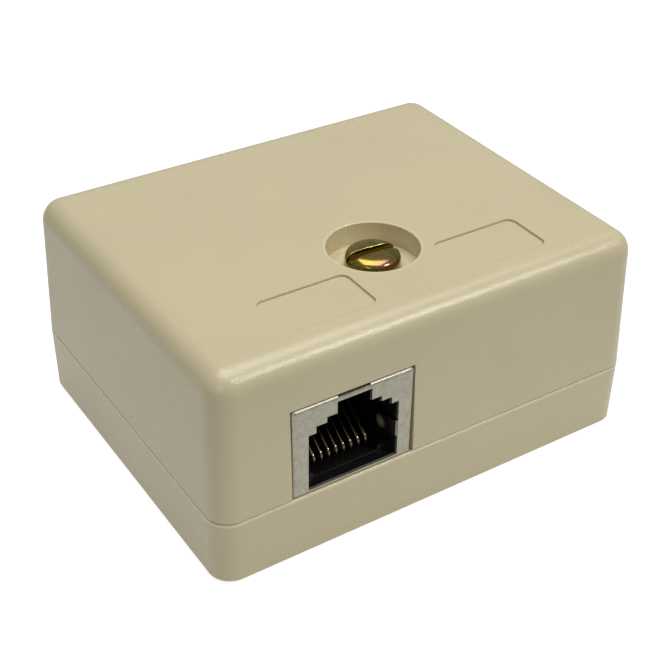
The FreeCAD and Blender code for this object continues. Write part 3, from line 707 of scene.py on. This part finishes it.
class Stage(bpy.types.Operator):
    """Sets up the camera, the soft lamps, the pale floor and the white surroundings"""
    bl_idname = "jackbox.stage"
    bl_label = "Stage"

    def execute(self, context):
        sizes = context.scene.jackbox_stage
        self.camera(context, sizes)
        self.lamps(context, sizes)
        self.floor(context, sizes)
        self.surroundings(context, sizes)
        context.scene.view_settings.view_transform = "Standard"
        return {"FINISHED"}

    def camera(self, context, sizes):
        """Looks at the aim point from the azimuth and elevation, then pans in its own plane."""
        azimuth, elevation = sizes.azimuth, sizes.elevation
        back = Vector((-math.sin(azimuth) * math.cos(elevation), -math.cos(azimuth) * math.cos(elevation),
                       math.sin(elevation)))
        level_right = Vector((0, 0, 1)).cross(back).normalized()
        level_down = level_right.cross(back)
        right = math.cos(sizes.roll) * level_right + math.sin(sizes.roll) * level_down
        down = math.cos(sizes.roll) * level_down - math.sin(sizes.roll) * level_right
        place = (Vector((0, 0, sizes.aim_height)) + sizes.distance * back + sizes.pan_right * right
                 + sizes.pan_down * down)
        camera = bpy.data.objects.new("camera", bpy.data.cameras.new("camera"))
        camera.data.lens = sizes.lens
        camera.data.shift_x = sizes.shift
        camera.data.sensor_width = 36
        camera.data.clip_start = 0.01
        turn = Matrix((right, -down, back)).transposed()
        camera.matrix_world = Matrix.Translation(place) @ turn.to_4x4()
        context.scene.collection.objects.link(camera)
        context.scene.camera = camera

    def lamps(self, context, sizes):
        """Square soft boxes aimed at the case's middle. A share of 1 lights a facing white surface to white."""
        aim = Vector((0, 0, 14 * MM))
        # Name, share, direction from the aim point, distance and side in metres
        lamps = [("overhead", sizes.overhead, (0.05, 0.06, 0.9), 0.7, 0.6),
                 ("key", sizes.key, (0.446, -0.574, 0.687), 0.6, 0.09),
                 ("fill", sizes.fill, (-0.65, -0.5, 0.45), 0.6, 0.2)]
        for name, share, direction, distance, side in lamps:
            data = bpy.data.lights.new(name, "AREA")
            data.shape = "SQUARE"
            data.size = side
            data.energy = share * (math.pi * distance) ** 2
            lamp = bpy.data.objects.new(name, data)
            away = Vector(direction).normalized()
            facing = away.to_track_quat("Z", "Y").to_matrix().to_4x4()
            lamp.matrix_world = Matrix.Translation(aim + distance * away) @ facing
            context.scene.collection.objects.link(lamp)

    def floor(self, context, sizes):
        """Pale floor that gives a little light from below, and more to the camera; it keeps the shadow."""
        mesh = bpy.data.meshes.new("floor")
        reach = 3.0
        mesh.from_pydata([(-reach, -reach, 0), (reach, -reach, 0), (reach, reach, 0), (-reach, reach, 0)], [],
                         [(0, 1, 2, 3)])
        floor = bpy.data.objects.new("floor", mesh)
        context.scene.collection.objects.link(floor)
        material, tree, place = new_finish("floor_matt_white")
        grain = noise(tree, place, 40, Detail=2.0)
        shader = add(tree, "BsdfDiffuse", {"Color": blend(tree, grain, solid(sizes.floor, 0.99), solid(sizes.floor))})
        # The light from below is strongest under the case and falls off over the 70 mm beyond its sides.
        far = add(tree, "VectorMath", {0: place}, operation="LENGTH").outputs["Value"]
        below = spread(tree, far, 0.31, 0.05, 30 * MM, 100 * MM)
        # The camera sees the floor paler: not under the case, by a half round it, and pure white far away.
        seen = calculate(tree, "ADD", spread(tree, far, 0, 0.5, 20 * MM, 23 * MM),
                         spread(tree, far, 0, 0.5, 120 * MM, 450 * MM))
        camera = add(tree, "LightPath").outputs["Is Camera Ray"]
        level = calculate(tree, "MULTIPLY_ADD", camera, seen, below)
        glow = add(tree, "Emission", {"Color": solid((1, 1, 1)), "Strength": level})
        lit = add(tree, "AddShader", {0: shader.outputs[0], 1: glow.outputs[0]})
        add(tree, "OutputMaterial", {"Surface": lit.outputs[0]})
        mesh.materials.append(material)

    def surroundings(self, context, sizes):
        """White to the camera; a softer white in reflections and as light on the object."""
        world = bpy.data.worlds.new("white_room")
        context.scene.world = world
        world.use_nodes = True
        tree = world.node_tree
        tree.nodes.clear()
        rays = add(tree, "LightPath").outputs
        seen = calculate(tree, "MAXIMUM", rays["Is Camera Ray"], rays["Is Transmission Ray"])
        soft = calculate(tree, "MULTIPLY_ADD", rays["Is Glossy Ray"], sizes.mirrored - sizes.ambient, sizes.ambient)
        level = calculate(tree, "MAXIMUM", seen, soft)
        light = add(tree, "Background", {"Color": solid((1, 1, 1)), "Strength": level})
        add(tree, "OutputWorld", {"Surface": light.outputs[0]})


# ---------------------------------------------------------------------------- panel and registration
GROUPS = {"jackbox_colours": JackBoxColours, "jackbox_cover_screw": JackBoxCoverScrew,
          "jackbox_small_screw": JackBoxSmallScrew, "jackbox_contact": JackBoxContact,
          "jackbox_stage": JackBoxStage}
OPERATORS = (CaseMouldings, ModularJack, ContactWires, CoverScrew, ThreadedInsert, SmallScrews, WiringBoard, Stage)


class JackBoxPanel(bpy.types.Panel):
    """Lists the operators and the sizes and colours they read"""
    bl_idname = "VIEW3D_PT_jackbox"
    bl_label = "Jack Box"
    bl_space_type = "VIEW_3D"
    bl_region_type = "UI"
    bl_category = "Jack Box"

    def draw(self, context):
        for operator in OPERATORS:
            self.layout.operator(operator.bl_idname)
        for group in GROUPS:
            box = self.layout.box()
            sizes = getattr(context.scene, group)
            for name in sizes.__annotations__:
                box.prop(sizes, name)


def register():
    for cls in (*GROUPS.values(), *OPERATORS, JackBoxPanel):
        bpy.utils.register_class(cls)
    for name, group in GROUPS.items():
        setattr(bpy.types.Scene, name, bpy.props.PointerProperty(type=group))


def unregister():
    for name in GROUPS:
        delattr(bpy.types.Scene, name)
    for cls in (JackBoxPanel, *reversed(OPERATORS), *reversed(tuple(GROUPS.values()))):
        bpy.utils.unregister_class(cls)


def main():
    register()
    for operator in OPERATORS:
        area, name = operator.bl_idname.split(".")
        getattr(getattr(bpy.ops, area), name)()


if __name__ == "__main__":
    main()
